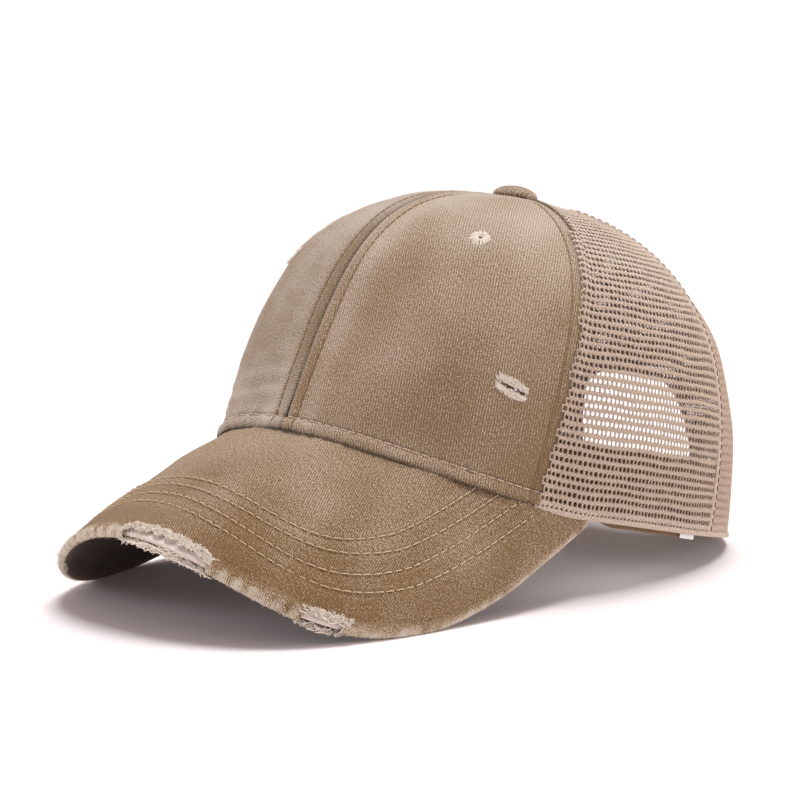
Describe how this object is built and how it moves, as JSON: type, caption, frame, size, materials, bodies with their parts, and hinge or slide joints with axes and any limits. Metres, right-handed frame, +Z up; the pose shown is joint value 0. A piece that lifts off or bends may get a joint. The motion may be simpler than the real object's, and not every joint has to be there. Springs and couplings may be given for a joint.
{
  "type": "trucker cap",
  "caption": "Worn trucker cap with washed twill front panels, beige mesh sides and back, a curved torn brim, a sweatband and an open arch with a strap at the rear.",
  "frame": {"origin": "bottom centre of the bounding box, on the floor that the cap rests on", "axes": "+Z up, -Y forward over the brim, +X to the wearer's left"},
  "size_m": [0.1674, 0.2602, 0.1326],
  "materials": {
    "crown_twill": "washed cotton twill, worn pale along the seams",
    "brim_twill": "washed cotton twill with rows of stitching, frayed at the edge",
    "mesh": "beige polyester net",
    "band_twill": "dark brown cotton twill",
    "board": "grey-white stiffener felt",
    "thread": "beige sewing thread",
    "label": "blank white woven tape"
  },
  "bodies": {
    "root": {"back_mesh_left": "mesh", "back_mesh_right": "mesh", "back_strap": "band_twill", "brim_board": "board", "brim_cover": "brim_twill", "care_label": "label", "eyelet_left": "thread", "eyelet_right": "thread", "front_panel_left": "crown_twill", "front_panel_right": "crown_twill", "side_mesh_left": "mesh", "side_mesh_right": "mesh", "sweatband": "band_twill", "top_button": "crown_twill"}
  },
  "joints": []
}
